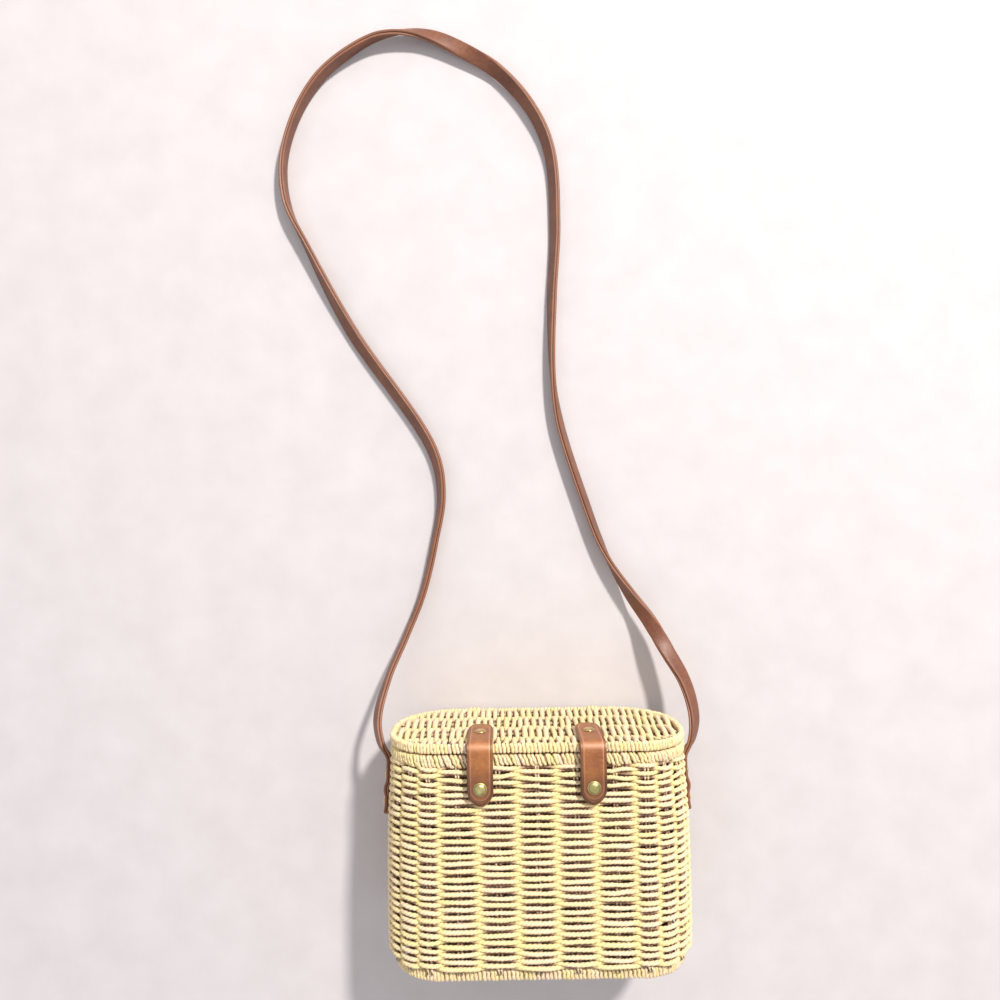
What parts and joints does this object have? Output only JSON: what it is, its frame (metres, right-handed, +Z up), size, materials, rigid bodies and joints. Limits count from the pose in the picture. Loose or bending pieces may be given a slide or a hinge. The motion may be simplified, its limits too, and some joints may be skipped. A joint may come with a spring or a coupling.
{
  "type": "straw basket bag",
  "caption": "Small woven straw basket bag with rounded ends, a flat hinged lid, leather closure tabs with snaps and a long flat leather shoulder strap, lying on its back.",
  "frame": {"origin": "bottom centre of the bag's box without its shoulder strap: the middle of the back it lies on", "axes": "+X to the bag's right as seen from the front, +Y from the base to the lid, +Z up from the surface it lies on, towards the front"},
  "size_m": [0.3258, 0.7221, 0.11],
  "materials": {
    "straw": "twisted cream-yellow paper straw cord, woven, satin sheen",
    "tab_leather": "smooth tan vegetable-tanned leather with light edges, low gloss",
    "strap_leather": "brown two-layer leather with a light tan line along each edge",
    "brass": "antique brass, polished dome, worn edges"
  },
  "bodies": {
    "root": {"basket_wall": "straw", "basket_base": "straw", "base_border": "straw", "body_rim": "straw", "lid_rim": "straw", "lid_panel": "straw", "hinge_loop_left": "straw", "hinge_loop_right": "straw", "closure_tab_left": "tab_leather", "closure_tab_right": "tab_leather", "snap_patch_left": "tab_leather", "snap_patch_right": "tab_leather", "tab_rivet_left": "brass", "tab_rivet_right": "brass", "snap_cap_left": "brass", "snap_cap_right": "brass", "snap_stud_left": "brass", "snap_stud_right": "brass", "strap_end_left": "strap_leather", "strap_end_right": "strap_leather", "strap_rivet_left_upper": "brass", "strap_rivet_left_lower": "brass", "strap_rivet_right_upper": "brass", "strap_rivet_right_lower": "brass", "shoulder_strap": "strap_leather"}
  },
  "joints": []
}
